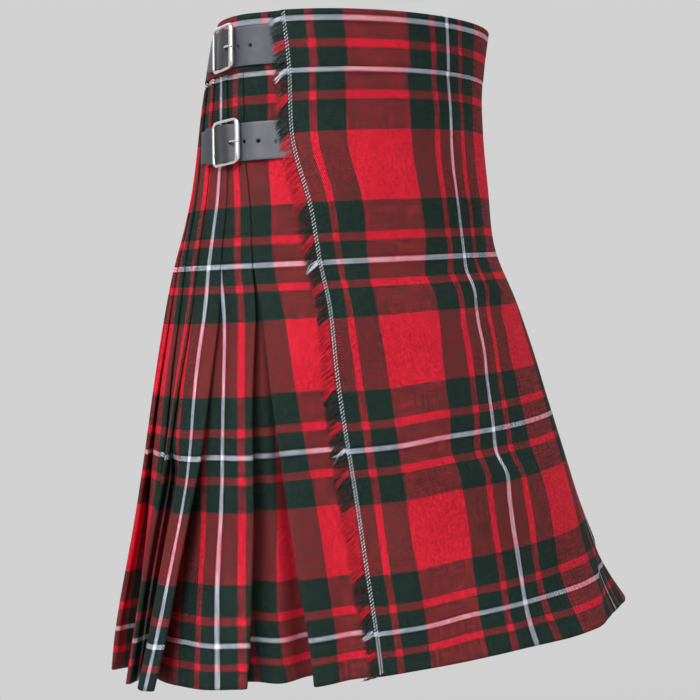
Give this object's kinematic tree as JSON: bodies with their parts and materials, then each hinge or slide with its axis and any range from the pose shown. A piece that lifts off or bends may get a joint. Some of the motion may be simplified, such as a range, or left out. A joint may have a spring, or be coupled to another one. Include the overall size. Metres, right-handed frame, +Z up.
{
  "type": "scottish kilt",
  "caption": "Knee-length pleated kilt in checked wool twill with a fringed wrap-over apron, leather side straps and buckles, open at waist and hem.",
  "frame": {"origin": "in the middle of the waistband's ring, halfway down the band, where the wearer's waist holds it", "axes": "+Z up along the wearer's body, -Y the way the wearer faces, -X the wearer's right, where the over apron's fringed edge lies"},
  "size_m": [0.6515, 0.439, 0.5955],
  "materials": {
    "cloth": "worsted wool twill in a red, green and white check",
    "fringe": "loose wool yarn ends of the same cloth",
    "leather": "smooth dark leather with a soft shine",
    "buckle": "polished nickel plate"
  },
  "bodies": {
    "root": {"over_apron": "cloth", "under_apron": "cloth", "pleated_back_right": "cloth", "pleated_back_left": "cloth", "waistband_over": "cloth", "waistband_under": "cloth", "waistband_back": "cloth", "apron_fringe": "fringe", "waist_right_strap": "leather", "waist_right_tab": "leather", "waist_right_buckle": "buckle", "waist_right_tongue": "buckle", "hip_right_strap": "leather", "hip_right_tab": "leather", "hip_right_buckle": "buckle", "hip_right_tongue": "buckle", "waist_left_strap": "leather", "waist_left_tab": "leather", "waist_left_buckle": "buckle", "waist_left_tongue": "buckle"}
  },
  "joints": []
}
